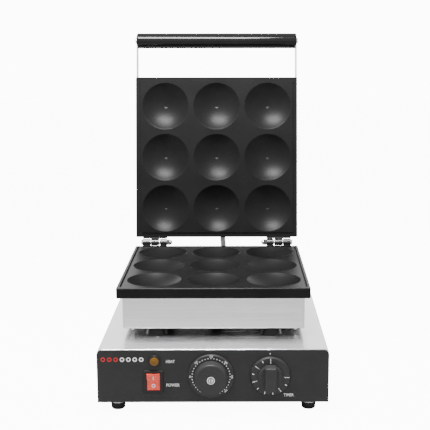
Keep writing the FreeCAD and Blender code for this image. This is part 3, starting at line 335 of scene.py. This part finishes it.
def material_table():
    """One finish for each material slot of the record, and one for each colour of ink.

    A coated row holds its two colours, roughness, grain, bump, specular, metallic, coat and clearness.
    A metal row holds the tint and roughness.
    """
    rows = {
        "foot_rubber": (grey(0.004), grey(0.010), 0.50, 1400.0, 0.25, 0.3),
        "grommet_rubber": (grey(0.006), grey(0.014), 0.60, 1400.0, 0.25, 0.3),
        "panel_paint": (grey(0.022), grey(0.032), 0.50, 1600.0, 0.16, 0.20),
        "black_plastic": (grey(0.006), grey(0.012), 0.42, 1800.0, 0.12, 0.35),
        "knob_plastic": (grey(0.022), grey(0.034), 0.42, 1500.0, 0.14, 0.30),
        "gloss_black": (grey(0.003), grey(0.006), 0.13, 700.0, 0.01, 0.22),
        "red_plastic": ((0.78, 0.050, 0.024), (0.92, 0.085, 0.048), 0.28, 300.0, 0.03, 0.5, 0.0, 0.3),
        "amber_lens": ((0.15, 0.068, 0.004), (0.21, 0.100, 0.007), 0.30, 300.0, 0.03, 0.3, 0.0, 0.0, 0.1),
        "neon_glass": (grey(0.80), grey(0.90), 0.06, 300.0, 0.02, 0.5, 0.0, 0.0, 0.8),
        "badge_white": (grey(0.78), grey(0.88), 0.40, 900.0, 0.05),
        "white_ceramic": ((0.78, 0.76, 0.70), (0.86, 0.84, 0.79), 0.30, 500.0, 0.08),
        "wire_sleeving": ((0.62, 0.60, 0.52), (0.80, 0.78, 0.70), 0.80, 1200.0, 0.6),
        "cast_nonstick": (grey(0.004), grey(0.009), 0.38, 1500.0, 0.25, 0.12),
        "mineral_wool": ((0.50, 0.46, 0.34), (0.74, 0.70, 0.56), 0.90, 700.0, 0.9, 0.1),
        "hinge_steel": (grey(0.06), grey(0.12), 0.26, 500.0, 0.15, 0.5, 1.0),
        "ink_white": (grey(0.82), grey(0.94), 0.55, 2500.0, 0.05, 0.3),
        "ink_red": ((0.50, 0.018, 0.022), (0.62, 0.030, 0.034), 0.55, 2500.0, 0.05, 0.3),
    }
    metals = {
        "bright_steel": (grey(0.82), 0.16),
        "galvanised_sheet": ((0.52, 0.53, 0.54), 0.42),
        "copper_line": ((0.80, 0.42, 0.27), 0.30),
        "brass_fitting": ((0.75, 0.60, 0.30), 0.30),
        "conduit_steel": (grey(0.40), 0.34),
        "element_sheath": ((0.34, 0.30, 0.27), 0.40),
    }
    table = {name: coated(name, *row) for name, row in rows.items()}
    table.update({name: plain_metal(name, *row) for name, row in metals.items()})
    table["brushed_steel"] = brushed_steel("brushed_steel", (0.96, 0.96, 0.97), 0.22)
    return table


def dress_frame(table):
    """Every CAD node gets its slot's finish."""
    slots = {row["node"]: row["material_slot"] for row in frame["record"]["subparts"]}
    for name, node in NODES.items():
        node.data.materials.clear()
        node.data.materials.append(table[slots[name]])


# Conduit: a strip-wound metal hose on the route's smooth line

def smooth_line(name, points):
    """The points of a NURBS line through a route, in metres."""
    data = bpy.data.curves.new(name, "CURVE")
    data.dimensions = "3D"
    spline = data.splines.new("NURBS")
    spline.points.add(len(points) - 1)
    for target, point in zip(spline.points, points):
        target.co = (*(Vector(point) * MM), 1.0)
    spline.order_u = 3
    spline.use_endpoint_u = True
    spline.resolution_u = 60
    line = bpy.data.objects.new(name, data)
    bpy.context.scene.collection.objects.link(line)
    mesh = bpy.data.meshes.new_from_object(line.evaluated_get(bpy.context.evaluated_depsgraph_get()))
    found = [v.co.copy() for v in mesh.vertices]
    bpy.data.objects.remove(line)
    bpy.data.meshes.remove(mesh)
    return found


def walk(points, step):
    """Places and directions at an even step along a line."""
    out = []
    travelled = 0.0
    due = 0.0
    for start, end in zip(points, points[1:]):
        run = (end - start).length
        while due <= travelled + run and run > 0.0:
            out.append((start.lerp(end, (due - travelled) / run), (end - start).normalized()))
            due += step
        travelled += run
    return out


def wound_hose(name, line, radius):
    """A tube whose wall steps in and out once for each turn of its strip."""
    mesh = bmesh.new()
    rings = []
    side = Vector((1.0, 0.0, 0.0))
    for i, (place, along) in enumerate(walk(line, HOSE_STEP)):
        side = (side - along * side.dot(along)).normalized()
        other = along.cross(side)
        ring = []
        for k in range(HOSE_SIDES):
            angle = 2 * math.pi * k / HOSE_SIDES
            phase = (i * HOSE_STEP / STRIP_PITCH + k / HOSE_SIDES) % 1.0
            depth = STRIP_GROOVE * max(0.0, math.cos(2 * math.pi * phase)) ** 4
            outward = side * math.cos(angle) + other * math.sin(angle)
            ring.append(mesh.verts.new(place + outward * (radius - depth)))
        rings.append(ring)
    for first, second in zip(rings, rings[1:]):
        for k in range(HOSE_SIDES):
            n = (k + 1) % HOSE_SIDES
            mesh.faces.new((first[k], first[n], second[n], second[k]))
    mesh.faces.new(rings[0])
    mesh.faces.new(list(reversed(rings[-1])))
    bmesh.ops.recalc_face_normals(mesh, faces=mesh.faces)
    return finish_mesh(name, mesh, smooth=True)


def finish_mesh(name, mesh, smooth=False):
    data = bpy.data.meshes.new(name)
    mesh.to_mesh(data)
    mesh.free()
    for face in data.polygons:
        face.use_smooth = smooth
    made = bpy.data.objects.new(name, data)
    bpy.context.scene.collection.objects.link(made)
    return made


def add_conduit(table):
    line = smooth_line("conduit_line", CONDUIT_ROUTE)
    hose = wound_hose("conduit_hose", line, CONDUIT_DIAMETER / 2 * MM)
    hose.data.materials.append(table["conduit_steel"])
    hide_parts("conduit")
    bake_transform(hose)


# Printed marks, each a thin layer of ink on its face

def around(radius, angle):
    """The point on a circle at an angle clockwise from the top."""
    turn = math.radians(angle)
    return radius * math.sin(turn), radius * math.cos(turn)


class Ink:
    """Collects flat shapes drawn right and up on a face that looks to the front."""

    def __init__(self, centre, standing):
        self.mesh = bmesh.new()
        self.centre = centre
        self.front = PANEL_FRONT - standing

    def plate(self, outline, hole=None):
        """A plate of ink between an outline and, if given, a hole with as many corners."""
        def corners(points, depth):
            x, z = self.centre
            return [self.mesh.verts.new(Vector((x + a, self.front + depth, z + b)) * MM) for a, b in points]
        top, bottom = corners(outline, -INK), corners(outline, INK_SUNK)
        count = len(outline)
        for k in range(count):
            n = (k + 1) % count
            self.mesh.faces.new((bottom[k], bottom[n], top[n], top[k]))
        if hole is None:
            self.mesh.faces.new(top)
            self.mesh.faces.new(list(reversed(bottom)))
            return
        inner_top, inner_bottom = corners(hole, -INK), corners(hole, INK_SUNK)
        for k in range(count):
            n = (k + 1) % count
            self.mesh.faces.new((top[k], top[n], inner_top[n], inner_top[k]))
            self.mesh.faces.new((bottom[n], bottom[k], inner_bottom[k], inner_bottom[n]))
            self.mesh.faces.new((inner_bottom[n], inner_bottom[k], inner_top[k], inner_top[n]))

    def disc(self, x, z, radius, inner=0.0, sides=32):
        angles = [2 * math.pi * k / sides for k in range(sides)]
        outer = [(x + radius * math.cos(a), z + radius * math.sin(a)) for a in angles]
        hole = [(x + inner * math.cos(a), z + inner * math.sin(a)) for a in angles] if inner else None
        self.plate(outer, hole)

    def stroke(self, start, end, width):
        line = Vector(end) - Vector(start)
        across = Vector((-line.y, line.x)).normalized() * width / 2
        a, b = Vector(start), Vector(end)
        self.plate([tuple(a - across), tuple(b - across), tuple(b + across), tuple(a + across)])

    def tick(self, angle, inner, outer, width):
        """A radial stroke; the angle is clockwise from the top."""
        self.stroke(around(inner, angle), around(outer, angle), width)

    def text(self, words, x, z, height, angle=0.0, bold=0.0, squeeze=1.0):
        """Words centred on a point and turned clockwise by an angle."""
        data = bpy.data.curves.new("words", "FONT")
        data.body = words
        data.align_x = "CENTER"
        data.align_y = "CENTER"
        data.size = height / CAP_HEIGHT * MM
        data.offset = bold * MM
        data.extrude = INK / 2 * MM
        data.resolution_u = 3
        letters = bpy.data.objects.new("words", data)
        bpy.context.scene.collection.objects.link(letters)
        found = bpy.data.meshes.new_from_object(letters.evaluated_get(bpy.context.evaluated_depsgraph_get()))
        place = Vector((self.centre[0] + x, self.front - INK / 2, self.centre[1] + z)) * MM
        stand = Matrix.Rotation(math.radians(angle), 4, "Y") @ Matrix.Rotation(math.pi / 2, 4, "X")
        found.transform(Matrix.Translation(place) @ stand @ Matrix.Diagonal((squeeze, 1.0, 1.0, 1.0)))
        self.mesh.from_mesh(found)
        bpy.data.objects.remove(letters)
        bpy.data.meshes.remove(found)

    def finish(self, name, body, material):
        bmesh.ops.remove_doubles(self.mesh, verts=self.mesh.verts, dist=1e-7)
        made = finish_mesh(name, self.mesh)
        made.data.materials.append(material)
        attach(made, body)


def add_panel_marks(table):
    white = Ink((0.0, 0.0), 0.0)
    for word, x, z, height, squeeze in LABELS:
        white.text(word, x, z, height, bold=LABEL_BOLD, squeeze=squeeze)
    white.disc(*INDEX_DOT, 0.8, sides=20)
    for k in range(RED_RINGS, RED_RINGS + WHITE_RINGS):
        white.disc(RING_START + RING_PITCH * k, RING_HEIGHT, RING_OUTER, RING_INNER)
    white.finish("panel_print_white", "base", table["ink_white"])
    red = Ink((0.0, 0.0), 0.0)
    for k in range(RED_RINGS):
        red.disc(RING_START + RING_PITCH * k, RING_HEIGHT, RING_OUTER, RING_INNER)
    red.finish("panel_print_red", "base", table["ink_red"])


def add_rocker_marks(table):
    """The on and off marks lie on the rocker's two sloping faces."""
    for name, side in (("rocker_mark_on", 1), ("rocker_mark_off", -1)):
        ink = Ink((0.0, 0.0), 0.0)
        if side > 0:
            ink.stroke((0.0, 3.4), (0.0, 8.6), 1.1)
        else:
            ink.disc(0.0, -5.4, 2.6, 1.6)
        face = Matrix.Translation(Vector((0.0, -PANEL_FRONT, 0.0)) * MM)
        valley = Matrix.Translation(Vector((0.0, -ROCKER_VALLEY, 0.0)) * MM)
        turn = Matrix.Rotation(ROCKER_TILT, 4, "X") @ valley @ Matrix.Rotation(side * ROCKER_LEAN, 4, "X")
        ink.mesh.transform(Matrix.Translation(ROCKER_PIVOT) @ turn @ face)
        ink.finish(name, "power_rocker", table["ink_white"])


def add_thermostat_marks(table):
    dots = Ink(THERMOSTAT, SKIRT_FACE)
    for k in range(DOT_COUNT):
        dots.disc(*around(DOT_CIRCLE, DOT_FIRST + DOT_STEP * k), 0.72, sides=16)
    for k in range(6):
        angle = -90 + 45 * k
        dots.text(str(50 + 50 * k), *around(DEGREES_CIRCLE, angle), 2.3, angle, 0.04)
    dots.finish("thermostat_scale", "thermostat_dial", table["ink_white"])
    badge = Ink(THERMOSTAT, BADGE_FACE)
    badge.disc(0.0, 0.0, 3.9, 2.9)
    badge.stroke((0.0, -2.2), (0.0, 2.2), 1.5)
    badge.finish("thermostat_badge_mark", "thermostat_dial", table["panel_paint"])


def add_timer_marks(table):
    marks = Ink(TIMER, TIMER_FACE)
    for k in range(TIMER_MARKS):
        angle = -TIMER_STEP * k
        if k % 2:
            marks.tick(angle, 22.0, 25.0, 1.0)
        else:
            marks.tick(angle, 21.6, 25.2, 0.9)
            marks.text(str(k // 2), *around(DIGIT_CIRCLE, angle), 2.4, angle, 0.05)
    marks.finish("timer_scale", "timer_dial", table["ink_white"])


add_camera()
add_world()
add_floor()
add_softbox()
TABLE = material_table()
dress_frame(TABLE)
add_conduit(TABLE)
add_panel_marks(TABLE)
add_rocker_marks(TABLE)
add_thermostat_marks(TABLE)
add_timer_marks(TABLE)
